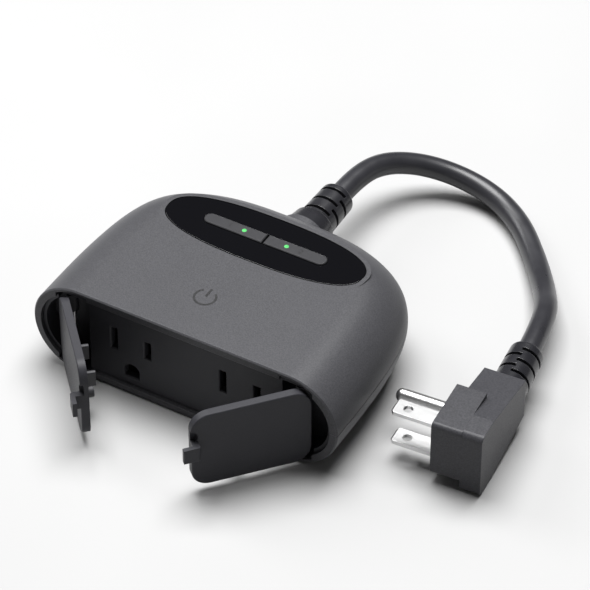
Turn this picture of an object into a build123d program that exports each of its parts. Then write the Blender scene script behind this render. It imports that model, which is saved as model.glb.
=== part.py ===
from build123d import *
import math
import os

# Outdoor two-outlet smart plug with hinged outlet covers, a short cord and a flat plug.
#
# Frame: X across the two outlets, Y from the outlet face to the cord, Z up.
# The origin is on the flat underside, at the middle of the body. Millimetres.
# Left is -X and right is +X, as seen from the outlet side.

os.makedirs("parts", exist_ok=True)

# ---------------------------------------------------------------- driving dimensions
BODY_H = 36.0
HALF_W = 57.0
FRONT_Y = -38.5           # front rim
BACK_Y = 38.7
EDGE_R = 17.9             # full-round edge; the 0.2 mm left over is the parting land
WALL = 2.8
MID_Z = BODY_H / 2        # shells part here
RUN_IN_Y = FRONT_Y - 13.5  # the form is drawn longer, then trimmed square at the front rim
SIDE_POINTS = [(HALF_W, FRONT_Y), (56.7, -13.0), (55.2, 4.0), (47.4, 24.8), (24.8, 37.0), (0, BACK_Y)]
FIT = 0.1                 # gap between pieces that drop into each other
LIP = 1.2                 # thin skin left outside the hinge notches
RIM_BEVEL = 0.5
SEAM_W, SEAM_DEPTH = 0.3, 0.45

# outlets: the blade spacing and ground offset are those of a 15 A grounded outlet
FACE_Y = -37.0
FACE_T = 2.5
OUTLET_X = 20.5
BLADE_PITCH = 12.7
GROUND_DROP = 11.9
SLOT_Z = 20.6
SLOT_W = 2.3
NEUTRAL_H = 8.8
LINE_H = 7.1
GROUND_R = 2.75
GROUND_FLAT = 2.5         # from the arch's centre down to its flat sill

# hinge pockets and covers
NOTCH_X = (36.0, 47.8)
POCKET_X = (36.3, 54.5)
POCKET_DEPTH = 9.6
POCKET_WALL = 1.4
COVER_L = 40.0
COVER_H = 30.0
COVER_T = 2.8
COVER_R = 6.3
HINGE_X, HINGE_Y = 42.9, -35.9
HINGE_BACKSET = 4.5       # cover's outer face to the hinge axis
HINGE_INSET = 1.7         # hinge axis to the cover's hinged edge
OPEN_LEFT, OPEN_RIGHT = 47.5, 49.0   # the covers stand this far open in the stored pose
PIN_R = 1.0
PIN_PLAY = 0.05
KNUCKLE_R = 2.0

# top panel and buttons
PANEL_Y = 13.8
PANEL_A, PANEL_B = 36.8, 11.45
PANEL_POWER = 2.5         # superellipse exponent
PANEL_T = 1.6
LAND = 1.5                # flat land around the panel
BUTTON_Y = 14.2
BUTTON_W = 4.7
BUTTON_REACH = 23.0
BUTTON_SPLIT = 0.35       # half of the gap between the two buttons
BUTTON_TOP = 36.5
BUTTON_PLAY = 0.2
SWITCH_X = 12.5
LED_X = 8.0
LIGHT_R = 0.8

# electronics deck
BOARD_T = 1.6
BOARD_Z = 7.0
DECK = BOARD_Z + BOARD_T
CONTROL_Z = 24.6
CONTROL_TOP = CONTROL_Z + BOARD_T
CASE_SCREWS = [(45.0, -15.0), (-45.0, -15.0), (25.0, 26.0), (-25.0, 26.0)]
BOARD_SCREWS = [(31.0, -17.0), (-31.0, -17.0), (30.0, 12.0), (-30.0, 12.0)]

# cord, its gland, and the flat plug on its end
CORD_D = 7.8
GLAND_Z = 18.4            # height of the gland's axis
GLAND_END_Y = 62.8
PLUG_ORIGIN = (82.6, -17.6, 12.75)
PLUG_YAW = 4.5
BLADE_RISE = 0.9          # the blades sit this far above the plug's middle
BLADE_L, BLADE_W, BLADE_T = 15.9, 6.35, 1.5
GROUND_PIN_R = 2.39
GROUND_PIN_L = 20.3
# route of the cord's centre line, from the gland to the plug's strain relief
CORD_ROUTE = [
    (0, 62.8, 18.4), (0, 75, 18.4), (3, 88, 16.6), (11.5, 98.5, 12.6), (24.5, 104.5, 8.2),
    (39.5, 104, 5.2), (53.5, 96, 4.2), (65.5, 83, 4.1), (77, 67.5, 6.4), (86.2, 50.2, 12.7),
    (88.7, 31.1, 12.7),
]


# ---------------------------------------------------------------- shared shapes
RIM_STEPS = 24            # spots on the outline that each inset outline is drawn through
left_points = [(-x, y) for x, y in reversed(SIDE_POINTS[:-1])]
OUTLINE = Spline(*SIDE_POINTS, *left_points, tangents=[(0, 1), (0, -1)])


def save(piece, name):
    """Label a finished piece and write its file."""
    piece.part.label = name
    export_step(piece.part, f"parts/{name}.step")


def plan(inset):
    """The body's outline from above, `inset` inside its widest line."""
    side = HALF_W - inset
    front = RUN_IN_Y + inset
    rim = []
    for step in range(RIM_STEPS + 1):
        spot, along = OUTLINE @ (step / RIM_STEPS), OUTLINE % (step / RIM_STEPS)
        rim.append((spot.X - inset * along.Y, spot.Y + inset * along.X))
    with BuildSketch(mode=Mode.PRIVATE) as sketch:
        with BuildLine():
            Line((side, front), rim[0])
            Spline(*rim, tangents=[(0, 1), (0, -1)])
            Line(rim[-1], (-side, front))
            Line((-side, front), (side, front))
        make_face()
    return sketch.sketch


def body_form(inset):
    """The body's full-round form, drawn `inset` inside its outer skin."""
    with BuildPart() as form:
        with BuildSketch(Plane.XY.offset(inset)):
            add(plan(inset))
        extrude(amount=BODY_H - 2 * inset)
        flats = form.faces().sort_by(Axis.Z)
        rims = flats[0].edges() + flats[-1].edges()
        fillet(rims.filter_by(lambda edge: edge.center().Y > RUN_IN_Y + inset + 1), EDGE_R - inset)
    return form.part


def block(x, y, z):
    """A plain block between two limits along each axis."""
    size = (x[1] - x[0], y[1] - y[0], z[1] - z[0])
    middle = ((x[0] + x[1]) / 2, (y[0] + y[1]) / 2, (z[0] + z[1]) / 2)
    return Pos(*middle) * Box(*size, mode=Mode.PRIVATE)


def both_sides(shape):
    """The shape and its mirror image in the middle plane."""
    return shape + mirror(shape, about=Plane.YZ)


def superellipse(a, b):
    """Half-width a, half-depth b, on the top panel's centre: a sketch for extruding."""
    steps = 32
    rim = []
    for step in range(steps):
        turn = 2 * math.pi * step / steps
        c, s = math.cos(turn), math.sin(turn)
        x = a * math.copysign(abs(c) ** (2 / PANEL_POWER), c)
        y = b * math.copysign(abs(s) ** (2 / PANEL_POWER), s)
        rim.append((x, PANEL_Y + y))
    with BuildSketch(mode=Mode.PRIVATE) as sketch:
        with BuildLine():
            Spline(*rim, periodic=True)
        make_face()
    return sketch.sketch


def pill(grow, reach=BUTTON_REACH):
    """The button pair's outline, grown all round."""
    with BuildSketch(mode=Mode.PRIVATE) as sketch:
        with Locations((0, BUTTON_Y)):
            SlotOverall(2 * (reach + grow), BUTTON_W + 2 * grow)
    return sketch.sketch


def tube_along(points, radii, tube_r):
    """A round tube along straight runs joined by tangent arcs."""
    with BuildPart() as tube:
        with BuildLine() as path:
            FilletPolyline(*points, radius=radii)
        start = path.line
        with BuildSketch(Plane(start @ 0, z_dir=start % 0)):
            Circle(tube_r)
        sweep(path=start, transition=Transition.RIGHT)
    return tube


def corner_radii(points):
    """The largest tidy arc for each corner: 0.45 of the shorter run over tan(half the turn)."""
    spots = [Vector(*point) for point in points]
    radii = []
    for before, corner, after in zip(spots, spots[1:], spots[2:]):
        run_in, run_out = corner - before, after - corner
        half_turn = math.radians(run_in.get_angle(run_out)) / 2
        radii.append(0.45 * min(run_in.length, run_out.length) / math.tan(half_turn))
    return radii


def rod(plane, radius, length):
    """A round rod that starts on a plane and follows its normal."""
    with BuildPart() as solid:
        with BuildSketch(plane):
            Circle(radius)
        extrude(amount=length)
    return solid.part


def posts(spots, radius, z):
    """Upright round posts, or holes, at several spots between two heights."""
    with BuildPart() as group:
        with BuildSketch(Plane.XY.offset(z[0])):
            with Locations(*spots):
                Circle(radius)
        extrude(amount=z[1] - z[0])
    return group.part


GLAND_AXIS = Plane(origin=(0, 0, GLAND_Z), x_dir=(1, 0, 0), z_dir=(0, 1, 0))


def gland_rod(radius, y):
    """A rod on the gland's axis between two Y limits."""
    return rod(GLAND_AXIS.offset(y[0]), radius, y[1] - y[0])


# ---------------------------------------------------------------- body blanks
BOSS_R, BOSS_Y = 9.2, (34.0, 39.2)
NECK_R = 5.9
outer_form = body_form(0)
cavity_form = body_form(WALL)
lining_form = body_form(WALL + FIT)
lip_form = body_form(LIP)
ear_form = body_form(LIP + FIT)
behind_front = block((-80, 80), (FRONT_Y, 60), (-5, 45))
upper_half = block((-80, 80), (-60, 60), (MID_Z, 45))
lower_half = block((-80, 80), (-60, 60), (-5, MID_Z))
notch_blocks = both_sides(block(NOTCH_X, (FRONT_Y - 1, -25.5), (-1, BODY_H + 1)))
hollow = cavity_form + (lip_form & notch_blocks)
with BuildPart() as outside:
    add(outer_form & behind_front)
    chamfer(outside.faces().sort_by(Axis.Y)[0].edges(), RIM_BEVEL)
skin = outside.part - hollow
gland_hole = gland_rod(NECK_R + FIT, (BOSS_Y[0] - 3, BOSS_Y[1] + 1))
gland_boss = gland_rod(BOSS_R, BOSS_Y) - gland_hole
with BuildPart() as seam:
    with BuildSketch(Plane.XY.offset(MID_Z - SEAM_W / 2)):
        add(plan(-2))
        add(plan(SEAM_DEPTH), mode=Mode.SUBTRACT)
    extrude(amount=SEAM_W)


def half_shell(half):
    """One bare half of the body with its half of the boss around the cord gland."""
    return (skin & half) - seam.part - gland_hole + (gland_boss & half)


# ---------------------------------------------------------------- upper shell
POST_R = 3.8
SCREW_R = 1.5
SCREW_TIP_Z = 26.0
CONTROL_POSTS = (47.0, 11.5)      # spacing of the control board's four posts
PANEL_CLEAR = 0.2
panel_land = superellipse(PANEL_A + PANEL_CLEAR + LAND, PANEL_B + PANEL_CLEAR + LAND)
panel_recess = superellipse(PANEL_A + PANEL_CLEAR, PANEL_B + PANEL_CLEAR)
CEILING = BODY_H - WALL
control_spots = [
    (x * CONTROL_POSTS[0] / 2, BUTTON_Y + y * CONTROL_POSTS[1] / 2) for x in (-1, 1) for y in (-1, 1)
]
with BuildPart() as upper_shell:
    add(half_shell(upper_half))
    with BuildSketch(Plane.XY.offset(CEILING + 0.5)):
        add(panel_land)
    extrude(amount=WALL - 0.5)
    add(posts(CASE_SCREWS, POST_R, (MID_Z, CEILING + 1)) & lip_form)
    add(posts(control_spots, 1.8, (CONTROL_TOP, CEILING + 0.2)))
    add(posts(CASE_SCREWS, SCREW_R, (MID_Z - 1, SCREW_TIP_Z)), mode=Mode.SUBTRACT)
    with BuildSketch(Plane.XY.offset(BODY_H - PANEL_T)):
        add(panel_recess)
    extrude(amount=PANEL_T + 1, mode=Mode.SUBTRACT)
    with BuildSketch(Plane.XY.offset(CEILING - 1)):
        add(pill(1.1, BUTTON_REACH + 0.4))
    extrude(amount=WALL, mode=Mode.SUBTRACT)
save(upper_shell, "upper_shell")

# ---------------------------------------------------------------- seam gasket and lower shell
GASKET_T = 0.8
GASKET_INSETS = (0.9, 1.9)
LOWER_POST_R = 4.4
HEAD_POCKET_R = 3.1
HEAD_SEAT_Z = 10.0
BOARD_POST_R = 2.6
BOARD_SCREW_R = 1.0
gasket_ends = block((-80, 80), (FRONT_Y + 1.2, 60), (-5, 45))
with BuildPart() as shell_gasket:
    with BuildSketch(Plane.XY.offset(MID_Z - GASKET_T)):
        add(plan(GASKET_INSETS[0]))
        add(plan(GASKET_INSETS[1]), mode=Mode.SUBTRACT)
    extrude(amount=GASKET_T)
    add(gasket_ends, mode=Mode.INTERSECT)
    add(gland_hole, mode=Mode.SUBTRACT)
save(shell_gasket, "shell_gasket")

with BuildPart() as lower_shell:
    add(half_shell(lower_half))
    add(posts(CASE_SCREWS, LOWER_POST_R, (WALL - 1, MID_Z)) & lip_form)
    add(posts(BOARD_SCREWS, BOARD_POST_R, (WALL - 1, BOARD_Z)) & lip_form)
    add(posts(CASE_SCREWS, HEAD_POCKET_R, (-1, HEAD_SEAT_Z)), mode=Mode.SUBTRACT)
    add(posts(CASE_SCREWS, SCREW_R, (HEAD_SEAT_Z - 1, MID_Z + 1)), mode=Mode.SUBTRACT)
    add(posts(BOARD_SCREWS, BOARD_SCREW_R, (WALL + 0.4, BOARD_Z + 1)), mode=Mode.SUBTRACT)
    add(shell_gasket.part, mode=Mode.SUBTRACT)
save(lower_shell, "lower_shell")

# ---------------------------------------------------------------- outlet face with hinge pockets
def pocket_plan(grow):
    """Half-round hinge pocket from above, on the right, open towards the front."""
    half = (POCKET_X[1] - POCKET_X[0]) / 2 + grow
    middle = (POCKET_X[0] + POCKET_X[1]) / 2
    low, high = middle - half, middle + half
    mouth = FRONT_Y - 1
    with BuildSketch(mode=Mode.PRIVATE) as sketch:
        with BuildLine():
            Polyline((high, FACE_Y), (high, mouth), (low, mouth), (low, FACE_Y))
            ThreePointArc((low, FACE_Y), (middle, FACE_Y + POCKET_DEPTH + grow), (high, FACE_Y))
        make_face()
    return sketch.sketch


def pocket_prism(grow, z):
    """Both hinge pockets' plan, extruded between two heights."""
    with BuildPart() as prism:
        with BuildSketch(Plane.XY.offset(z[0])):
            add(pocket_plan(grow))
            mirror(about=Plane.YZ)
        extrude(amount=z[1] - z[0])
    return prism.part


COVER_Z = (MID_Z - COVER_H / 2, MID_Z + COVER_H / 2)
POCKET_Z = (COVER_Z[0] - 0.15, COVER_Z[1] + 0.15)
EAR_X = (NOTCH_X[0] + FIT, NOTCH_X[1] - FIT)
EAR_FRONT_Y = FRONT_Y + 0.5
ears = both_sides(block(EAR_X, (EAR_FRONT_Y, -25.7), (-1, BODY_H + 1)))
face_slab = block((-80, 80), (FACE_Y, FACE_Y + FACE_T), (-5, 45))
behind_face = block((-80, 80), (FACE_Y, 0), (-5, 45))
pocket_walls = pocket_prism(POCKET_WALL, (0, BODY_H))
cup = (lining_form & pocket_walls & behind_face) + (ear_form & ears & pocket_walls)
ear_room = both_sides(block((NOTCH_X[0], EAR_X[1]), (FRONT_Y - 2, -25), POCKET_Z))
cup_room = body_form(WALL + FIT + LIP) + ear_room
cup_hollow = pocket_prism(0, POCKET_Z) & cup_room
cover_room = both_sides(block((NOTCH_X[0] - 1, EAR_X[1]), (FRONT_Y - 2, FACE_Y), POCKET_Z))
face_blank = (lining_form & face_slab) + cup - cup_hollow - cover_room
FRONT_PLANE = Plane(origin=(0, FACE_Y, 0), x_dir=(1, 0, 0), z_dir=(0, -1, 0))
GROUND_Z = SLOT_Z - GROUND_DROP
NEUTRAL_DX, LINE_DX = -BLADE_PITCH / 2, BLADE_PITCH / 2
SLOT_BEVEL = 0.35


def outlet_openings(grow):
    """The slots and round hole of both outlets, on the outlet face."""
    with BuildSketch(mode=Mode.PRIVATE) as sketch:
        for centre in (-OUTLET_X, OUTLET_X):
            with Locations((centre + NEUTRAL_DX, SLOT_Z)):
                Rectangle(SLOT_W + 2 * grow, NEUTRAL_H + 2 * grow)
            with Locations((centre + LINE_DX, SLOT_Z)):
                Rectangle(SLOT_W + 2 * grow, LINE_H + 2 * grow)
            with Locations((centre, GROUND_Z)):
                Circle(GROUND_R + grow)
            with Locations((centre, GROUND_Z - (GROUND_FLAT + grow) / 2)):
                Rectangle(2 * (GROUND_R + grow), GROUND_FLAT + grow)
            with Locations((centre, GROUND_Z - GROUND_FLAT - grow - 2)):
                Rectangle(4 * GROUND_R, 4, mode=Mode.SUBTRACT)
    return sketch.sketch


with BuildPart() as outlet_face:
    add(face_blank)
    with BuildSketch(FRONT_PLANE.offset(1)):
        add(outlet_openings(0))
    extrude(amount=-(FACE_T + 2), mode=Mode.SUBTRACT)
    rims = outlet_face.edges().filter_by_position(Axis.Y, FACE_Y - 0.01, FACE_Y + 0.01)
    chamfer(rims.filter_by(lambda edge: abs(edge.center().X) < 30 and 5 < edge.center().Z < 26), SLOT_BEVEL)
    with BuildSketch(Plane.XY.offset(LIP + FIT)):
        with Locations((HINGE_X, HINGE_Y), (-HINGE_X, HINGE_Y)):
            Circle(PIN_R)
    extrude(amount=BODY_H - 2 * (LIP + FIT) - 0.4, mode=Mode.SUBTRACT)
save(outlet_face, "outlet_face")

# ---------------------------------------------------------------- hinge pins, covers and their seals
def place(shape, spot, heading=0.0):
    """The shape turned about Z, then moved to a spot."""
    return shape.moved(Location(spot, (0, 0, heading)))


PIN_Z = (2.0, BODY_H - 2.0)
for name, side in (("hinge_pin_left", -1), ("hinge_pin_right", 1)):
    with BuildPart() as hinge_pin:
        with BuildSketch(Plane.XY.offset(PIN_Z[0])):
            with Locations((side * HINGE_X, HINGE_Y)):
                Circle(PIN_R)
        extrude(amount=PIN_Z[1] - PIN_Z[0])
    save(hinge_pin, name)

# The left cover is drawn shut, about its hinge axis: +X runs along the cover to its free end
# and +Y points into the outlets. It is then swung open and set on its axis, and the right one
# mirrors it.
OUTER_Y = -HINGE_BACKSET
INNER_Y = OUTER_Y + COVER_T
COVER_X = (-HINGE_INSET, COVER_L - HINGE_INSET)
KNUCKLES_Z = ((COVER_Z[0] + 0.3, COVER_Z[0] + 7.3), (COVER_Z[1] - 7.3, COVER_Z[1] - 0.3))
TAB_Z = (17.2, 22.8)
TAB_ROOT_X = COVER_X[1] - 2.2
TAB_TIP_X = COVER_X[1] + 3.4
TAB_Y = (OUTER_Y - 3.1, OUTER_Y - 1.6)
SCALLOP_R = 2.4
cover_plane = Plane(origin=(0, OUTER_Y, 0), x_dir=(1, 0, 0), z_dir=(0, -1, 0))
with BuildPart() as cover:
    with BuildSketch(cover_plane):
        with Locations(((COVER_X[0] + COVER_X[1]) / 2, MID_Z)):
            RectangleRounded(COVER_L, COVER_H, COVER_R)
    extrude(amount=-COVER_T)
    chamfer(cover.faces().sort_by(Axis.Y)[0].edges(), 0.3)
    for low, high in KNUCKLES_Z:
        with BuildSketch(Plane.XY.offset(low)):
            Circle(KNUCKLE_R)
            with Locations((0, (INNER_Y - 0.4) / 2)):
                Rectangle(2 * KNUCKLE_R, -INNER_Y + 0.4)
        extrude(amount=high - low)
    with BuildSketch(cover_plane):
        with Locations((COVER_X[1] + 0.2, TAB_Z[1] + SCALLOP_R - 0.6)):
            Circle(SCALLOP_R)
    extrude(amount=-1.3, mode=Mode.SUBTRACT)
    with BuildSketch(Plane.XY.offset(TAB_Z[0])):
        with BuildLine():
            Polyline(
                (TAB_ROOT_X, OUTER_Y + 1.4), (TAB_ROOT_X, TAB_Y[0] + 0.5), (TAB_ROOT_X + 0.5, TAB_Y[0]),
                (TAB_TIP_X, TAB_Y[0]), (TAB_TIP_X, TAB_Y[1]), (COVER_X[1], TAB_Y[1]),
                (COVER_X[1], OUTER_Y + 1.4), close=True,
            )
        make_face()
    extrude(amount=TAB_Z[1] - TAB_Z[0])
    with BuildSketch(Plane.XY.offset(COVER_Z[0] - 1)):
        Circle(PIN_R + PIN_PLAY)
    extrude(amount=COVER_H + 2, mode=Mode.SUBTRACT)

SEAL_T = 0.5
SEAL_X = (5.5, 34.5)
SEAL_H = 22.0
PLUG_DEPTH = 3.2
SEAL_PLUG_W, SEAL_PLUG_H = 1.6, 6.2
SEAL_ROUND_R = 2.1
outlet_x = HINGE_X - OUTLET_X     # the outlet's centre, along the cover from its hinge
seal_plane = Plane(origin=(0, INNER_Y, 0), x_dir=(1, 0, 0), z_dir=(0, -1, 0))
with BuildPart() as cover_seal:
    with BuildSketch(seal_plane):
        with Locations(((SEAL_X[0] + SEAL_X[1]) / 2, MID_Z - 1)):
            RectangleRounded(SEAL_X[1] - SEAL_X[0], SEAL_H, 4)
    extrude(amount=-SEAL_T)
    with BuildSketch(seal_plane.offset(-SEAL_T)):
        with Locations((outlet_x + NEUTRAL_DX, SLOT_Z), (outlet_x + LINE_DX, SLOT_Z)):
            RectangleRounded(SEAL_PLUG_W, SEAL_PLUG_H, 0.6)
        with Locations((outlet_x, GROUND_Z + 0.3)):
            Circle(SEAL_ROUND_R)
    extrude(amount=-PLUG_DEPTH, taper=2)

for shape, name in ((cover.part, "cover"), (cover_seal.part, "cover_seal")):
    with BuildPart() as left_piece:
        add(place(shape, (-HINGE_X, HINGE_Y, 0), -OPEN_LEFT))
    save(left_piece, f"{name}_left")
    with BuildPart() as right_piece:
        add(mirror(place(shape, (-HINGE_X, HINGE_Y, 0), -OPEN_RIGHT), about=Plane.YZ))
    save(right_piece, f"{name}_right")

# ---------------------------------------------------------------- top panel, buttons, switches
SWITCH = 6.0
SWITCH_H = 3.4
SWITCH_TOP = CONTROL_TOP + SWITCH_H
PLUNGER_R = 1.7
PLUNGER_TOP = SWITCH_TOP + 1.4
TRAVEL_ROOM = 0.7
LED_TOP = CONTROL_TOP + 0.8
with BuildPart() as gloss_panel:
    with BuildSketch(Plane.XY.offset(BODY_H - PANEL_T)):
        add(superellipse(PANEL_A, PANEL_B))
        add(pill(BUTTON_PLAY), mode=Mode.SUBTRACT)
    extrude(amount=PANEL_T)
    chamfer(gloss_panel.faces().sort_by(Axis.Z)[-1].outer_wire().edges(), 0.25)
save(gloss_panel, "gloss_panel")

for name, side in (("left", -1), ("right", 1)):
    own_side = block(sorted((side * BUTTON_SPLIT, side * 40)), (-60, 60), (0, 60))
    with BuildPart() as button:
        with BuildSketch(Plane.XY.offset(BODY_H - WALL + 0.1)):
            add(pill(0.6, BUTTON_REACH))
        extrude(amount=0.85)
        with BuildSketch(Plane.XY.offset(BODY_H - WALL + 0.1)):
            add(pill(0))
        extrude(amount=BUTTON_TOP - BODY_H + WALL - 0.1)
        add(own_side, mode=Mode.INTERSECT)
        chamfer(button.faces().sort_by(Axis.Z)[-1].edges(), 0.3)
        with BuildSketch(Plane.XY.offset(PLUNGER_TOP)):
            with Locations((side * SWITCH_X, BUTTON_Y)):
                Circle(1.4)
        extrude(amount=BODY_H - WALL + 0.2 - PLUNGER_TOP)
        with BuildSketch(Plane.XY.offset(CEILING - 1)):
            with Locations((side * LED_X, BUTTON_Y)):
                Circle(LIGHT_R)
        extrude(amount=6, mode=Mode.SUBTRACT)
    save(button, f"button_{name}")

    with BuildPart() as light_pipe:
        with BuildSketch(Plane.XY.offset(LED_TOP + 1.0)):
            with Locations((side * LED_X, BUTTON_Y)):
                Circle(LIGHT_R)
        extrude(amount=BUTTON_TOP - LED_TOP - 1.0)
    save(light_pipe, f"light_pipe_{name}")

    with BuildPart() as switch_plunger:
        with BuildSketch(Plane.XY.offset(SWITCH_TOP - 1.4)):
            with Locations((side * SWITCH_X, BUTTON_Y)):
                Circle(PLUNGER_R)
        extrude(amount=PLUNGER_TOP - SWITCH_TOP + 1.4)
    save(switch_plunger, f"switch_plunger_{name}")

    with BuildPart() as switch_body:
        with BuildSketch(Plane.XY.offset(CONTROL_TOP)):
            with Locations((side * SWITCH_X, BUTTON_Y)):
                Rectangle(SWITCH, SWITCH)
        extrude(amount=SWITCH_H)
        with BuildSketch(Plane.XY.offset(SWITCH_TOP - 1.4 - TRAVEL_ROOM)):
            with Locations((side * SWITCH_X, BUTTON_Y)):
                Circle(PLUNGER_R + PIN_PLAY)
        extrude(amount=5, mode=Mode.SUBTRACT)
    save(switch_body, f"switch_body_{name}")

    with BuildPart() as led:
        with BuildSketch(Plane.XY.offset(CONTROL_TOP)):
            with Locations((side * LED_X, BUTTON_Y)):
                Rectangle(2.0, 1.25)
        extrude(amount=LED_TOP - CONTROL_TOP)
        fillet(led.faces().sort_by(Axis.Z)[-1].edges(), 0.2)
    save(led, f"led_{name}")

with BuildPart() as control_board:
    with BuildSketch(Plane.XY.offset(CONTROL_Z)):
        with Locations((0, BUTTON_Y)):
            RectangleRounded(52, 16, 1)
    extrude(amount=BOARD_T)
save(control_board, "control_board")

# ---------------------------------------------------------------- contacts and their carrier
CARRIER_Y = (FACE_Y + FACE_T + 0.1, -21.7)
CARRIER_Z = (4.4, 27.0)
CLIP_Y = (CARRIER_Y[0] + 2.6, -23.6)
CLIP_HALF = 2.0
LEAF_T = 0.7
CLIP_Z = (16.8, 24.4)
BAR_Y = (-21.5, -20.6)
SOCKET_R = 3.3
LINE_TAB_Z = (17.6, 20.2)
NEUTRAL_TAB_Z = (21.8, 24.0)
neutral_xs = (-OUTLET_X + NEUTRAL_DX, OUTLET_X + NEUTRAL_DX)
line_xs = (-OUTLET_X + LINE_DX, OUTLET_X + LINE_DX)
ground_xs = (-OUTLET_X, OUTLET_X)


def blade_clip(x, tab_z):
    """A folded brass clip that grips one blade, with a tab out through the carrier's back."""
    gap = CLIP_HALF - LEAF_T
    clip = block((x - CLIP_HALF, x + CLIP_HALF), CLIP_Y, CLIP_Z)
    mouth = block((x - gap, x + gap), (CLIP_Y[0] - 1, CLIP_Y[1] - LEAF_T), CLIP_Z)
    tab = block((x - 1.4, x + 1.4), (CLIP_Y[1] - 0.1, BAR_Y[1]), tab_z)
    return clip - mouth + tab


def board_lug(x, top):
    """A flat lug from a contact down to the main board's front edge."""
    upright = block((x - 1.4, x + 1.4), BAR_Y, (DECK, top))
    foot = block((x - 1.4, x + 1.4), (BAR_Y[0], BAR_Y[1] + 3.4), (DECK, DECK + 0.8))
    return upright + foot


clip_room_z = (CLIP_Z[0] - 0.3, CLIP_Z[1] + 0.3)
tab_room_z = (LINE_TAB_Z[0] - 0.1, NEUTRAL_TAB_Z[1] + 0.1)
with BuildPart() as contact_carrier:
    add(block((-31.5, 31.5), CARRIER_Y, CARRIER_Z))
    for x in neutral_xs + line_xs:
        add(block((x - 2.3, x + 2.3), (-40, CLIP_Y[1] + 0.3), clip_room_z), mode=Mode.SUBTRACT)
        add(block((x - 1.5, x + 1.5), (-30, -20), tab_room_z), mode=Mode.SUBTRACT)
    for x in ground_xs:
        bore_plane = Plane(origin=(x, -40, GROUND_Z), x_dir=(1, 0, 0), z_dir=(0, 1, 0))
        add(rod(bore_plane, SOCKET_R + 0.2, CLIP_Y[1] + 40.3), mode=Mode.SUBTRACT)
        add(block((x - 1.5, x + 1.5), (-30, -20), (GROUND_Z - 1.1, GROUND_Z + 1.1)), mode=Mode.SUBTRACT)
save(contact_carrier, "contact_carrier")

for name, x in zip(("left", "right"), line_xs):
    with BuildPart() as line_contact:
        add(blade_clip(x, LINE_TAB_Z))
        add(board_lug(x, LINE_TAB_Z[1]))
    save(line_contact, f"line_contact_{name}")

with BuildPart() as neutral_bus:
    for x in neutral_xs:
        add(blade_clip(x, NEUTRAL_TAB_Z))
    add(block((neutral_xs[0] - 1.4, neutral_xs[1] + 1.4), BAR_Y, NEUTRAL_TAB_Z))
    add(board_lug(2, NEUTRAL_TAB_Z[1]))
save(neutral_bus, "neutral_bus")

slit_y = (CLIP_Y[0] - 1, CLIP_Y[1] - 2)
bar_x = (ground_xs[0] - 1.4, ground_xs[1] + 1.4)
with BuildPart() as ground_bus:
    for x in ground_xs:
        socket_plane = Plane(origin=(x, CLIP_Y[0], GROUND_Z), x_dir=(1, 0, 0), z_dir=(0, 1, 0))
        add(rod(socket_plane, SOCKET_R, CLIP_Y[1] - CLIP_Y[0]))
        add(rod(socket_plane.offset(-1), SOCKET_R - LEAF_T, CLIP_Y[1] - CLIP_Y[0]), mode=Mode.SUBTRACT)
        add(block((x - 0.4, x + 0.4), slit_y, (GROUND_Z - 5, GROUND_Z)), mode=Mode.SUBTRACT)
        add(block((x - 1.4, x + 1.4), (CLIP_Y[1] - 0.2, BAR_Y[1]), (GROUND_Z - 1, GROUND_Z + 1)))
    add(block(bar_x, (BAR_Y[0], BAR_Y[1] - 0.1), (GROUND_Z - 1.5, GROUND_Z + 1)))
    # a notch over the board's lugs keeps the bar clear of the live and neutral feet
    for x in line_xs[:1] + (2,):
        add(block((x - 2.4, x + 2.4), (-23, -20), (GROUND_Z - 0.6, GROUND_Z + 3)), mode=Mode.SUBTRACT)
save(ground_bus, "ground_bus")

# ---------------------------------------------------------------- main board and what stands on it
with BuildPart() as main_board:
    with BuildSketch(Plane.XY.offset(BOARD_Z)):
        with Locations((0, 0.3)):
            Rectangle(68, 41.6)
        with Locations(*BOARD_SCREWS):
            Circle(BOARD_SCREW_R + 0.2, mode=Mode.SUBTRACT)
    extrude(amount=BOARD_T)
save(main_board, "main_board")


def deck_block(name, x, y, height, corner=0.8):
    """A rounded block standing on the main board."""
    with BuildPart() as piece:
        with BuildSketch(Plane.XY.offset(DECK)):
            with Locations(((x[0] + x[1]) / 2, (y[0] + y[1]) / 2)):
                RectangleRounded(x[1] - x[0], y[1] - y[0], corner)
        extrude(amount=height)
        chamfer(piece.faces().sort_by(Axis.Z)[-1].edges(), 0.3)
    save(piece, name)


deck_block("relay_left", (-23.5, -4.5), (-15.5, 0.0), 15.3)
deck_block("relay_right", (4.5, 23.5), (-15.5, 0.0), 15.3)
deck_block("power_module", (-26.0, -12.0), (2.0, 20.0), 13.5)
deck_block("terminal_block", (-10.0, 10.0), (12.5, 20.5), 9.0)
deck_block("wireless_module", (24.5, 27.3), (-12.0, 6.0), 15.0, 0.5)

with BuildPart() as capacitor:
    with BuildSketch(Plane.XY.offset(DECK)):
        with Locations((17.5, 6.5)):
            Circle(5)
    extrude(amount=14)
    fillet(capacitor.faces().sort_by(Axis.Z)[-1].edges(), 0.8)
save(capacitor, "capacitor")

VARISTOR_R = 4.5
with BuildPart() as varistor:
    with BuildSketch(Plane(origin=(20, 15.5, DECK + VARISTOR_R), x_dir=(1, 0, 0), z_dir=(0, 1, 0))):
        Circle(VARISTOR_R)
    extrude(amount=3.5)
    fillet(varistor.edges().filter_by(GeomType.CIRCLE), 0.9)
save(varistor, "varistor")

FUSE_R = 2.6
with BuildPart() as fuse:
    with BuildSketch(Plane(origin=(-8, 6, DECK + FUSE_R), x_dir=(0, 1, 0), z_dir=(1, 0, 0))):
        Circle(FUSE_R)
    extrude(amount=16)
    fillet(fuse.edges().filter_by(GeomType.CIRCLE), 0.5)
save(fuse, "fuse")

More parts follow.
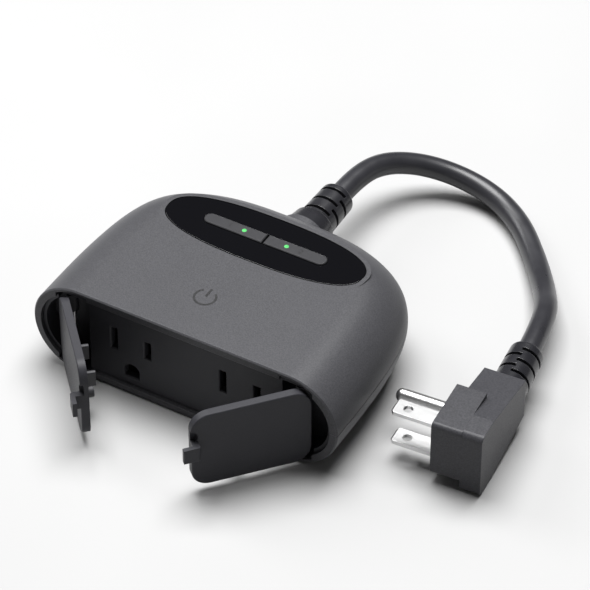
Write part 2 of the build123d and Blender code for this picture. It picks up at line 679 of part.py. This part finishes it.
# ---------------------------------------------------------------- fasteners
with BuildPart() as case_screws:
    add(posts(CASE_SCREWS, SCREW_R, (HEAD_SEAT_Z - 0.2, SCREW_TIP_Z - 1)))
    add(posts(CASE_SCREWS, 2.8, (HEAD_SEAT_Z - 2.2, HEAD_SEAT_Z)))
    with BuildSketch(Plane.XY.offset(HEAD_SEAT_Z - 2.2)):
        with Locations(*CASE_SCREWS):
            Rectangle(3.4, 0.7)
            Rectangle(0.7, 3.4)
    extrude(amount=1.2, mode=Mode.SUBTRACT)
save(case_screws, "case_screws")

with BuildPart() as board_screws:
    add(posts(BOARD_SCREWS, BOARD_SCREW_R, (WALL + 1.2, DECK + 0.2)))
    add(posts(BOARD_SCREWS, 2, (DECK, DECK + 1.4)))
save(board_screws, "board_screws")

# ---------------------------------------------------------------- cord gland and inner wires
GLAND_CONE = (8.5, 7.6)           # collar radii, at the body and at its outer end
GLAND_CONE_Y = 46.6
RIB_R = (6.5, 6.1)
RIB_PITCH = 5.5                   # between slots on one side; the other side's sit half way
SLOT_LONG, SLOT_DEEP = 1.3, 1.5
GLAND_INNER_Y = 30.4


def half_slots(plane, first, rows, reach, turn):
    """Flex slots of a strain relief: each goes half way round, on alternate sides of a split line."""
    with BuildPart() as cuts:
        for row in range(rows):
            side = turn + 180 * (row % 2)
            off_x, off_y = Vector(0, -reach - 2.4).rotate(Axis.Z, side).to_tuple()[:2]
            with BuildSketch(plane.offset(first + row * RIB_PITCH / 2)):
                Circle(reach + 2)
                Circle(reach - SLOT_DEEP, mode=Mode.SUBTRACT)
                with Locations(Location((off_x, off_y, 0), (0, 0, side))):
                    Rectangle(4 * reach, 2 * reach + 4, mode=Mode.SUBTRACT)
            extrude(amount=SLOT_LONG)
    return cuts.part


with BuildPart() as cord_gland:
    with BuildSketch(Plane.YZ):
        with BuildLine():
            Polyline(
                (GLAND_INNER_Y, GLAND_Z), (GLAND_INNER_Y, GLAND_Z + 7.2), (BOSS_Y[0] - 0.1, GLAND_Z + 7.2),
                (BOSS_Y[0] - 0.1, GLAND_Z + NECK_R), (BOSS_Y[1], GLAND_Z + NECK_R),
                (BOSS_Y[1], GLAND_Z + GLAND_CONE[0]), (GLAND_CONE_Y - 0.8, GLAND_Z + GLAND_CONE[1]),
                (GLAND_CONE_Y, GLAND_Z + GLAND_CONE[1] - 0.6), (GLAND_CONE_Y, GLAND_Z + RIB_R[0]),
                (GLAND_END_Y, GLAND_Z + RIB_R[1]), (GLAND_END_Y, GLAND_Z), close=True,
            )
        make_face()
    revolve(axis=Axis((0, 0, GLAND_Z), (0, 1, 0)))
    fillet(cord_gland.faces().sort_by(Axis.Y)[-1].edges(), 1.1)
    add(half_slots(GLAND_AXIS, 47.8, 5, RIB_R[0], 135), mode=Mode.SUBTRACT)
save(cord_gland, "cord_gland")

WIRE_R = 1.0
WIRE_BEND = 1.9
BLOCK_Y = 20.5
for name, start, end_x in (
    ("line_wire", (-2.6, GLAND_Z - 1.2), -6.5),
    ("neutral_wire", (2.6, GLAND_Z - 1.2), 6.5),
    ("ground_wire", (0, GLAND_Z + 2.4), 0),
):
    x, z = start
    route = [(x, GLAND_INNER_Y, z), (x, 27.0, z), (end_x, 23.6, 13.0), (end_x, BLOCK_Y, 13.0)]
    wire = tube_along(route, [WIRE_BEND, WIRE_BEND], WIRE_R)
    save(wire, name)

# ---------------------------------------------------------------- cord
route_radii = corner_radii(CORD_ROUTE)
print("cord bend radii:", [round(radius, 1) for radius in route_radii])
cord = tube_along(CORD_ROUTE, route_radii, CORD_D / 2)
save(cord, "cord")

# ---------------------------------------------------------------- plug: body, blades, pin, strain relief
# Drawn in its own frame: +X from the blade face to the back, +Y from the free end to the cord,
# +Z up, with the origin on the blade face. It lies on its side, blades pointing to -X.
BLOCK_U, BLOCK_V, BLOCK_W = (0.0, 10.3), (-7.4, 12.9), (-9.2, 12.5)
BACK_U = (10.3, 17.4)
BACK_HALF = 12.6
BODY_V = (-7.4, 28.4)
TAPER_FROM_V = 2.0
TAPERED_HALF = 7.7
NECK_U = 3.0
plug_place = Location(PLUG_ORIGIN, (0, 0, PLUG_YAW))
side_plane = Plane(origin=(NECK_U, 0, 0), x_dir=(0, 1, 0), z_dir=(1, 0, 0))
relief_out = (Vector(*CORD_ROUTE[-2]) - Vector(*CORD_ROUTE[-1])).normalized()
RELIEF_L = 21.9
RELIEF_R = (6.2, 5.8)
relief_root = Vector(*CORD_ROUTE[-1]) - relief_out * RELIEF_L
RELIEF_PLANE = Plane(origin=relief_root, x_dir=(0, 0, 1), z_dir=relief_out)

with BuildPart() as plug_back:
    with BuildSketch(side_plane):
        with BuildLine():
            Polyline(
                (BODY_V[0], -BACK_HALF), (TAPER_FROM_V, -BACK_HALF), (BODY_V[1], -TAPERED_HALF),
                (BODY_V[1], TAPERED_HALF), (TAPER_FROM_V, BACK_HALF), (BODY_V[0], BACK_HALF), close=True,
            )
        make_face()
    extrude(amount=BACK_U[1] - NECK_U)
    near = plug_back.edges().filter_by(Axis.X).group_by(Axis.Y)[0]
    fillet(near, 2.2)
    add(block((-5, BACK_U[0]), (-20, BLOCK_V[1] - 0.2), (-20, 20)), mode=Mode.SUBTRACT)
with BuildPart() as plug_front:
    add(block(BLOCK_U, BLOCK_V, BLOCK_W))
    fillet(plug_front.edges().filter_by(Axis.X).group_by(Axis.Y)[0], 1.6)

PIN_STUB_R = 1.8
BLADE_ROOT = 5.0
plug_axes = Plane(origin=(0, 0, BLADE_RISE), x_dir=(0, 1, 0), z_dir=(-1, 0, 0))
blade_rises = {"blade_line": BLADE_PITCH / 2, "blade_neutral": -BLADE_PITCH / 2}
with BuildPart() as pin_shape:
    with BuildSketch(plug_axes):
        with Locations((GROUND_DROP, 0)):
            Circle(GROUND_PIN_R)
    extrude(amount=GROUND_PIN_L)
    fillet(pin_shape.faces().sort_by(Axis.X)[0].edges(), GROUND_PIN_R - 0.3)
    with BuildSketch(plug_axes):
        with Locations((GROUND_DROP, 0)):
            Circle(PIN_STUB_R)
    extrude(amount=-BLADE_ROOT)


def blade(rise):
    """One flat blade with its hole and bevelled tip, rooted in the moulded body."""
    half_t = BLADE_T / 2
    z = BLADE_RISE + rise
    flat = block((-BLADE_L, BLADE_ROOT), (-BLADE_W / 2, BLADE_W / 2), (z - half_t, z + half_t))
    with BuildPart() as strip:
        add(flat)
        chamfer(strip.faces().sort_by(Axis.X)[0].edges().filter_by(Axis.Y), 0.5)
        chamfer(strip.edges().filter_by(Axis.Z).group_by(Axis.X)[0], 1.0)
        with BuildSketch(Plane.XY.offset(z - 2)):
            with Locations((-11.1, 0)):
                Circle(1.6)
        extrude(amount=4, mode=Mode.SUBTRACT)
    return strip.part


blades = {name: blade(rise) for name, rise in blade_rises.items()}
with BuildPart() as relief_blank:
    with BuildSketch(RELIEF_PLANE):
        Circle(RELIEF_R[0])
    with BuildSketch(RELIEF_PLANE.offset(RELIEF_L)):
        Circle(RELIEF_R[1])
    loft()
    fillet(relief_blank.faces().sort_by(Axis.Y)[-1].edges(), 1.1)

with BuildPart() as plug_body:
    add((plug_back.part + plug_front.part).moved(plug_place))
    add(relief_blank.part, mode=Mode.SUBTRACT)
    for shape in [pin_shape.part, *blades.values()]:
        add(shape.moved(plug_place), mode=Mode.SUBTRACT)
save(plug_body, "plug_body")

for name, shape in blades.items():
    with BuildPart() as plug_blade:
        add(shape.moved(plug_place))
    save(plug_blade, name)

with BuildPart() as plug_ground_pin:
    add(pin_shape.part.moved(plug_place))
save(plug_ground_pin, "plug_ground_pin")

with BuildPart() as plug_strain_relief:
    add(relief_blank.part)
    add(half_slots(RELIEF_PLANE, 6.1, 5, RELIEF_R[0], 0), mode=Mode.SUBTRACT)
save(plug_strain_relief, "plug_strain_relief")
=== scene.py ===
import math

import bpy
from mathutils import Matrix, Vector


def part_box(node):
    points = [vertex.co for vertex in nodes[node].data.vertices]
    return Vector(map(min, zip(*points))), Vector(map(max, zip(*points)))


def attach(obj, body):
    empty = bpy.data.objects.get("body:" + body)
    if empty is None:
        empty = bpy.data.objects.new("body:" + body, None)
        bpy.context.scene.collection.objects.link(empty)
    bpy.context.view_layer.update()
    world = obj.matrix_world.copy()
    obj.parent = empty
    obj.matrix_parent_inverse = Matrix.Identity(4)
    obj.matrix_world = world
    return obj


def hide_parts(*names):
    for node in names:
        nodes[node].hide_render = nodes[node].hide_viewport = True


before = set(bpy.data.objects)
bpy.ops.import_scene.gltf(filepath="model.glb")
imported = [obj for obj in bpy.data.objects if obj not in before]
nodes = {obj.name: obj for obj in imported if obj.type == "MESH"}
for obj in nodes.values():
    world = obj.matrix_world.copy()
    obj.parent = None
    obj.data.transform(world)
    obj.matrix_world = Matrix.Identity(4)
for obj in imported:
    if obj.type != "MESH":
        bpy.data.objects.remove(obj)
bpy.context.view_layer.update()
scene = bpy.context.scene
MM = 0.001


# ------------------------------------------------------------------ material nodes
class Nodes:
    """A small helper that adds and links the nodes of one material."""

    def __init__(self, name):
        self.material = bpy.data.materials.new(name)
        self.material.use_nodes = True
        self.tree = self.material.node_tree
        self.shader = self.tree.nodes["Principled BSDF"]
        coords = self.add("ShaderNodeTexCoord")
        self.place = coords.outputs["Object"]

    def add(self, kind, **settings):
        node = self.tree.nodes.new(kind)
        for key, value in settings.items():
            setattr(node, key, value)
        return node

    def link(self, source, target):
        self.tree.links.new(source, target)

    def noise(self, scale, detail=2.0, rough=0.5, stretch=None):
        """Noise in the object's own frame; stretch squeezes its axes for brushed or drawn surfaces."""
        node = self.add("ShaderNodeTexNoise")
        node.inputs["Scale"].default_value = scale
        node.inputs["Detail"].default_value = detail
        node.inputs["Roughness"].default_value = rough
        place = self.place
        if stretch:
            mapping = self.add("ShaderNodeMapping")
            mapping.inputs["Scale"].default_value = stretch
            self.link(self.place, mapping.inputs["Vector"])
            place = mapping.outputs["Vector"]
        self.link(place, node.inputs["Vector"])
        return node.outputs["Fac"]

    def remap(self, value, low, high, to_low, to_high):
        node = self.add("ShaderNodeMapRange")
        node.inputs["From Min"].default_value = low
        node.inputs["From Max"].default_value = high
        node.inputs["To Min"].default_value = to_low
        node.inputs["To Max"].default_value = to_high
        self.link(value, node.inputs["Value"])
        return node.outputs["Result"]

    def math(self, operation, a, b):
        node = self.add("ShaderNodeMath", operation=operation)
        for value, socket in ((a, node.inputs[0]), (b, node.inputs[1])):
            if isinstance(value, (int, float)):
                socket.default_value = value
            else:
                self.link(value, socket)
        return node.outputs[0]

    def mix(self, factor, a, b):
        """A colour between a and b; each is a colour or a link."""
        node = self.add("ShaderNodeMix", data_type="RGBA")
        self.link(factor, node.inputs["Factor"])
        for value, socket in ((a, node.inputs[6]), (b, node.inputs[7])):
            if isinstance(value, tuple):
                socket.default_value = (*value, 1)
            else:
                self.link(value, socket)
        return node.outputs[2]

    def edges(self, radius, gain=3.0):
        """1 on convex and concave edges, 0 on open faces."""
        bevel = self.add("ShaderNodeBevel", samples=6)
        bevel.inputs["Radius"].default_value = radius
        normal = self.add("ShaderNodeNewGeometry").outputs["Normal"]
        dot = self.add("ShaderNodeVectorMath", operation="DOT_PRODUCT")
        self.link(bevel.outputs["Normal"], dot.inputs[0])
        self.link(normal, dot.inputs[1])
        return self.remap(dot.outputs["Value"], 1.0, 1.0 - 1.0 / gain, 0.0, 1.0)

    def bump(self, height, strength, distance, radius=0.0):
        """Bump on the surface, over softly rounded edges when radius is given."""
        node = self.add("ShaderNodeBump")
        node.inputs["Strength"].default_value = strength
        node.inputs["Distance"].default_value = distance
        self.link(height, node.inputs["Height"])
        if radius:
            bevel = self.add("ShaderNodeBevel", samples=6)
            bevel.inputs["Radius"].default_value = radius
            self.link(bevel.outputs["Normal"], node.inputs["Normal"])
        self.link(node.outputs["Normal"], self.shader.inputs["Normal"])

    def color(self, source):
        self.link(source, self.shader.inputs["Base Color"])

    def roughness(self, source):
        self.link(source, self.shader.inputs["Roughness"])

    def set(self, **values):
        for key, value in values.items():
            self.shader.inputs[key.replace("_", " ")].default_value = value


def shade(color, factor):
    return tuple(min(1.0, channel * factor) for channel in color)


def grained_plastic(name, color, rough=0.5, grain=2600.0, depth=0.35, speck=0.18, edge_highlight=0.3):
    """Moulded plastic with a spark-eroded grain, faint flow shading and edges coloured lighter as a painted
    highlight.
    """
    n = Nodes(name)
    fine = n.noise(grain, 3.0, 0.6)
    cloud = n.noise(30.0, 3.0, 0.55)
    tint = n.mix(n.remap(cloud, 0.3, 0.7, 0.0, 1.0), shade(color, 0.94), shade(color, 1.06))
    dark, light = shade(color, 1 - speck), shade(color, 1 + 1.6 * speck)
    speckled = n.mix(n.remap(fine, 0.35, 0.68, 0.0, 1.0), dark, light)
    both = n.mix(n.remap(cloud, 0.0, 1.0, 0.4, 0.6), tint, speckled)
    # painted highlight: the colour is lightened towards 2.2 times the base on convex and concave edges
    edge_highlighted = n.mix(n.math("MULTIPLY", n.edges(0.35 * MM), edge_highlight), both, shade(color, 2.2))
    n.color(edge_highlighted)
    n.roughness(n.remap(fine, 0.3, 0.7, rough - 0.07, rough + 0.09))
    n.bump(fine, depth, 0.06 * MM, 0.28 * MM)
    n.set(Specular_IOR_Level=0.22, IOR=1.48)
    return n.material


def gloss_plastic(name, color, rough=0.06):
    """Polished plastic with the faint orange peel of a moulded gloss face and a little dust."""
    n = Nodes(name)
    peel = n.noise(140.0, 2.0, 0.5)
    dust = n.noise(5200.0, 1.0, 0.5)
    n.color(n.mix(n.remap(dust, 0.66, 0.78, 0.0, 0.5), color, shade(color, 4.0)))
    n.roughness(n.remap(n.noise(24.0, 3.0, 0.6), 0.3, 0.7, rough, rough + 0.05))
    n.bump(peel, 0.04, 0.05 * MM, 0.2 * MM)
    n.set(Coat_Weight=0.25, Coat_Roughness=0.03, IOR=1.45)
    return n.material


def soft_rubber(name, color, rough=0.55, grain=1400.0, depth=0.25):
    """Soft moulded vinyl or rubber with a fine matt skin and handling marks."""
    n = Nodes(name)
    fine = n.noise(grain, 3.0, 0.6)
    marks = n.noise(60.0, 4.0, 0.65)
    base = n.mix(n.remap(marks, 0.3, 0.75, 0.0, 1.0), shade(color, 0.88), shade(color, 1.16))
    # painted highlight: edges coloured lighter than the rubber around them
    n.color(n.mix(n.math("MULTIPLY", n.edges(0.4 * MM), 0.35), base, shade(color, 2.4)))
    n.roughness(n.remap(marks, 0.3, 0.7, rough - 0.08, rough + 0.08))
    n.bump(fine, depth, 0.05 * MM, 0.35 * MM)
    n.set(Specular_IOR_Level=0.5, Sheen_Weight=0.05)
    return n.material


def plated_metal(name, color, rough=0.2, stretch=(40.0, 900.0, 900.0), edge_highlight=0.4):
    """Plated or drawn metal with fine lines along its length and edges coloured brighter as a painted highlight."""
    n = Nodes(name)
    lines = n.noise(3.0, 3.0, 0.6, stretch)
    stain = n.noise(220.0, 3.0, 0.6)
    base = n.mix(n.remap(stain, 0.35, 0.7, 0.0, 1.0), shade(color, 0.9), color)
    # painted highlight: edges coloured brighter than the metal around them
    n.color(n.mix(n.math("MULTIPLY", n.edges(0.25 * MM), edge_highlight), base, shade(color, 1.3)))
    n.roughness(n.remap(lines, 0.3, 0.7, rough - 0.02, rough + 0.05))
    n.bump(lines, 0.02, 0.01 * MM, 0.1 * MM)
    n.set(Metallic=1.0)
    return n.material


def circuit_board(name, color, trace):
    """Solder mask over copper: pale traces, vias and a soft weave."""
    n = Nodes(name)
    brick = n.add("ShaderNodeTexBrick", offset=0.37, squash=1.6)
    brick.inputs["Scale"].default_value = 210.0
    brick.inputs["Mortar Size"].default_value = 0.045
    n.link(n.place, brick.inputs["Vector"])
    vias = n.add("ShaderNodeTexVoronoi")
    vias.inputs["Scale"].default_value = 340.0
    n.link(n.place, vias.inputs["Vector"])
    spots = n.remap(vias.outputs["Distance"], 0.12, 0.16, 1.0, 0.0)
    lined = n.mix(brick.outputs["Fac"], color, trace)
    n.color(n.mix(spots, lined, (0.55, 0.5, 0.35)))
    n.roughness(n.remap(n.noise(700.0), 0.3, 0.7, 0.28, 0.42))
    n.bump(brick.outputs["Fac"], 0.2, 0.03 * MM)
    return n.material


def lit_green(name, color, strength):
    """A small light guide that glows softly, brighter in its middle."""
    n = Nodes(name)
    glow = n.noise(900.0, 2.0, 0.5)
    tone = n.mix(n.remap(glow, 0.3, 0.7, 0.0, 1.0), shade(color, 0.8), color)
    n.color(tone)
    n.link(tone, n.shader.inputs["Emission Color"])
    n.roughness(n.remap(glow, 0.3, 0.7, 0.2, 0.35))
    n.set(Emission_Strength=strength)
    return n.material


def printed_ink(name, color):
    """Pad-printed ink: flat, slightly uneven, a touch smoother than the plastic around it."""
    n = Nodes(name)
    patch = n.noise(1800.0, 3.0, 0.6)
    n.color(n.mix(n.remap(patch, 0.35, 0.7, 0.0, 1.0), shade(color, 0.85), shade(color, 1.1)))
    n.roughness(n.remap(patch, 0.3, 0.7, 0.32, 0.45))
    n.bump(patch, 0.1, 0.02 * MM)
    return n.material


SHELL = (0.058, 0.058, 0.063)
materials = {
    "shell": grained_plastic(
        "shell_plastic", SHELL, rough=0.38, grain=2300.0, depth=0.6, speck=0.3, edge_highlight=0.7,
    ),
    "face": grained_plastic("face_plastic", (0.038, 0.038, 0.043), rough=0.5, edge_highlight=0.25),
    "cover": grained_plastic("cover_plastic", (0.03, 0.03, 0.035), rough=0.45, edge_highlight=0.3),
    "inner": grained_plastic("inner_plastic", (0.01, 0.01, 0.011), rough=0.55),
    "relay": grained_plastic("relay_plastic", (0.03, 0.07, 0.25), rough=0.4),
    "terminal": grained_plastic("terminal_plastic", (0.03, 0.3, 0.12), rough=0.45),
    "dark_case": grained_plastic("dark_case_plastic", (0.02, 0.02, 0.022), rough=0.45),
    "plug": grained_plastic(
        "plug_plastic", (0.045, 0.045, 0.05), rough=0.38, grain=1800.0, depth=0.6, speck=0.3, edge_highlight=0.35,
    ),
    "panel": gloss_plastic("panel_gloss", (0.003, 0.003, 0.004)),
    "button": grained_plastic(
        "button_satin", (0.036, 0.036, 0.039), rough=0.36, grain=3000.0, depth=0.15, speck=0.1,
    ),
    "sleeve": gloss_plastic("capacitor_sleeve", (0.02, 0.035, 0.1), rough=0.2),
    "dipped": gloss_plastic("varistor_coat", (0.05, 0.15, 0.4), rough=0.25),
    "chip": gloss_plastic("led_chip", (0.7, 0.75, 0.4), rough=0.2),
    "ceramic": gloss_plastic("fuse_ceramic", (0.7, 0.68, 0.62), rough=0.3),
    "gasket": soft_rubber("gasket_rubber", (0.012, 0.012, 0.012)),
    "seal": soft_rubber("seal_rubber", (0.035, 0.035, 0.04), rough=0.6),
    "cord": soft_rubber("cord_rubber", (0.022, 0.022, 0.026), rough=0.33, grain=900.0, depth=0.1),
    "relief": soft_rubber("relief_rubber", (0.013, 0.013, 0.016), rough=0.26, depth=0.12),
    "wire_black": soft_rubber("wire_black", (0.015, 0.015, 0.015), rough=0.4),
    "wire_white": soft_rubber("wire_white", (0.7, 0.7, 0.66), rough=0.4),
    "wire_green": soft_rubber("wire_green", (0.02, 0.25, 0.05), rough=0.4),
    "blade": plated_metal("blade_steel", (0.66, 0.66, 0.66), rough=0.3),
    "pin": plated_metal("pin_steel", (0.5, 0.5, 0.51), rough=0.28, stretch=(900.0, 900.0, 40.0)),
    "brass": plated_metal("contact_brass", (0.72, 0.52, 0.22), rough=0.25),
    "can": plated_metal("can_metal", (0.7, 0.7, 0.69), rough=0.3, stretch=(300.0, 60.0, 300.0)),
    "board": circuit_board("board_green", (0.01, 0.09, 0.035), (0.03, 0.2, 0.08)),
    "light": lit_green("green_light", (0.08, 0.45, 0.12), 0.2),
    "dark_ink": printed_ink("shell_ink", (0.004, 0.004, 0.005)),
}
finishes = {
    "shell": ["upper_shell", "lower_shell"],
    "face": ["outlet_face"],
    "cover": ["cover_left", "cover_right"],
    "inner": ["contact_carrier"],
    "relay": ["relay_left", "relay_right"],
    "terminal": ["terminal_block"],
    "dark_case": ["power_module", "switch_plunger_left", "switch_plunger_right"],
    "plug": ["plug_body"],
    "panel": ["gloss_panel"],
    "button": ["button_left", "button_right"],
    "sleeve": ["capacitor"],
    "dipped": ["varistor"],
    "chip": ["led_left", "led_right"],
    "ceramic": ["fuse"],
    "gasket": ["shell_gasket"],
    "seal": ["cover_seal_left", "cover_seal_right"],
    "relief": ["cord_gland", "plug_strain_relief"],
    "wire_black": ["line_wire"],
    "wire_white": ["neutral_wire"],
    "wire_green": ["ground_wire"],
    "blade": ["blade_line", "blade_neutral", "plug_ground_pin"],
    "pin": ["hinge_pin_left", "hinge_pin_right", "case_screws", "board_screws"],
    "brass": ["line_contact_left", "line_contact_right", "neutral_bus", "ground_bus"],
    "can": ["wireless_module", "switch_body_left", "switch_body_right"],
    "board": ["main_board", "control_board"],
    "light": ["light_pipe_left", "light_pipe_right"],
}
for finish, names in finishes.items():
    for name in names:
        mesh = nodes[name].data
        mesh.materials.clear()
        mesh.materials.append(materials[finish])


# ------------------------------------------------------------------ pieces
def new_piece(name, mesh, finish, body):
    """A Blender piece in the row frame, riding on a CAD body."""
    piece = bpy.data.objects.new(name, mesh)
    scene.collection.objects.link(piece)
    mesh.materials.append(materials[finish])
    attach(piece, body)
    return piece


# the cord: one smooth curve from the gland to the plug's strain relief
CORD_D = 7.8 * MM
CORD_ROUTE = [
    (0, 62.8, 18.4), (0, 75, 18.4), (3, 88, 16.6), (11.5, 98.5, 12.6), (24.5, 104.5, 8.2),
    (39.5, 104, 5.2), (53.5, 96, 4.2), (65.5, 83, 4.1), (77, 67.5, 6.4), (86.2, 50.2, 12.7),
    (88.7, 31.1, 12.7),
]
curve = bpy.data.curves.new("cord_run", "CURVE")
curve.dimensions = "3D"
curve.bevel_depth = CORD_D / 2
curve.bevel_resolution = 8
curve.resolution_u = 16
curve.use_fill_caps = True
run = curve.splines.new("NURBS")
run.points.add(len(CORD_ROUTE) - 1)
for point, (x, y, z) in zip(run.points, CORD_ROUTE):
    point.co = (x * MM, y * MM, z * MM, 1)
run.order_u = 3
run.use_endpoint_u = True
cord = new_piece("cord_run", curve, "cord", "housing")
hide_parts("cord")


def flat_text(name, words, size, matrix, finish, body):
    """A printed numeral as a flat mesh."""
    font = bpy.data.curves.new(name, "FONT")
    font.body = words
    font.size = size
    font.align_x = font.align_y = "CENTER"
    font.resolution_u = 6
    holder = bpy.data.objects.new(name, font)
    scene.collection.objects.link(holder)
    bpy.context.view_layer.update()
    depsgraph = bpy.context.evaluated_depsgraph_get()
    mesh = bpy.data.meshes.new_from_object(holder.evaluated_get(depsgraph))
    bpy.data.objects.remove(holder)
    mesh.transform(matrix)
    mesh.name = name
    return new_piece(name, mesh, finish, body)


PRINT_LIFT = 0.03 * MM
button_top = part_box("button_left")[1].z
button_y = (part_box("button_left")[0].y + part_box("button_left")[1].y) / 2
for name, x, words in (("left", -13.4, "1"), ("right", 13.4, "2")):
    spot = Matrix.Translation((x * MM, button_y, button_top + PRINT_LIFT))
    flat_text(f"button_number_{name}", words, 3.0 * MM, spot, "dark_ink", f"button_{name}_body")
OUTLET_FACE_Y = -37.0 * MM
upright = Matrix.Rotation(math.pi / 2, 4, "X")
for name, x, words in (("left", -20.7, "1"), ("right", 20.7, "2")):
    spot = Matrix.Translation((x * MM, OUTLET_FACE_Y - PRINT_LIFT, 28.5 * MM)) @ upright
    flat_text(f"outlet_number_{name}", words, 3.2 * MM, spot, "dark_ink", "housing")


def power_symbol(radius, width, steps=40):
    """A generic power mark: an open ring with an upright bar, flat in XY."""
    gap = math.radians(38)
    verts, faces = [], []
    for step in range(steps + 1):
        turn = math.pi / 2 + gap + (2 * math.pi - 2 * gap) * step / steps
        for reach in (radius - width / 2, radius + width / 2):
            verts.append((reach * math.cos(turn), reach * math.sin(turn), 0))
        if step:
            last = 2 * step
            faces.append((last - 2, last - 1, last + 1, last))
    first = len(verts)
    low, high, half = 0.1 * radius, 1.2 * radius, width / 2
    verts += [(-half, low, 0), (half, low, 0), (half, high, 0), (-half, high, 0)]
    faces.append((first, first + 1, first + 2, first + 3))
    mesh = bpy.data.meshes.new("power_mark")
    mesh.from_pydata(verts, [], faces)
    return mesh


BODY_TOP = 36.0 * MM
mark = power_symbol(3.6 * MM, 0.8 * MM)
mark.transform(Matrix.Translation((-2.5 * MM, -19.8 * MM, BODY_TOP + PRINT_LIFT)))
new_piece("power_mark", mark, "dark_ink", "housing")

# ------------------------------------------------------------------ floor, light, camera
floor_mesh = bpy.data.meshes.new("floor")
reach = 6.0
corners = [(-reach, -reach, 0), (reach, -reach, 0), (reach, reach, 0), (-reach, reach, 0)]
floor_mesh.from_pydata(corners, [], [(0, 1, 2, 3)])
floor = bpy.data.objects.new("floor", floor_mesh)
floor.location.z = -0.0002
scene.collection.objects.link(floor)
paper = Nodes("floor_paper")
paper.color(paper.mix(paper.remap(paper.noise(9.0), 0.3, 0.7, 0.0, 1.0), (0.42, 0.42, 0.42), (0.435, 0.435, 0.435)))
paper.set(Roughness=0.6)
floor_mesh.materials.append(paper.material)

world = bpy.data.worlds.new("studio")
world.use_nodes = True
world.node_tree.nodes["Background"].inputs["Color"].default_value = (1, 1, 1, 1)
world.node_tree.nodes["Background"].inputs["Strength"].default_value = 0.05
scene.world = world


def area_light(name, spot, aim, size, power, spread=180):
    light = bpy.data.lights.new(name, "AREA")
    light.shape = "RECTANGLE"
    light.size, light.size_y = size
    light.energy = power
    light.spread = math.radians(spread)
    lamp = bpy.data.objects.new(name, light)
    lamp.location = spot
    lamp.rotation_euler = (Vector(aim) - Vector(spot)).to_track_quat("-Z", "Y").to_euler()
    scene.collection.objects.link(lamp)
    return lamp


middle = (0.02, 0.02, 0.02)
area_light("overhead", (-0.15, 0.35, 1.5), (0.02, 0.02, 0), (1.2, 0.9), 52)
area_light("key", (-1.2, 0.15, 1.0), middle, (0.6, 0.8), 9)
area_light("front", (0.1, -1.5, 0.55), middle, (1.2, 0.5), 1)

camera = bpy.data.cameras.new("camera")
camera.lens = 212.3
camera.sensor_width = 36
camera.clip_start, camera.clip_end = 0.05, 20
eye = bpy.data.objects.new("camera", camera)
right = Vector((0.8655, 0.5009, 0.0)).normalized()
back = Vector((0.3722, -0.6432, 0.6691)).normalized()
up = back.cross(right).normalized()
turn = Matrix((right, up, back)).transposed().to_4x4()
eye.matrix_world = Matrix.Translation((0.4384, -0.7240, 0.78455)) @ turn
scene.collection.objects.link(eye)
scene.camera = eye
scene.view_settings.view_transform = "Standard"
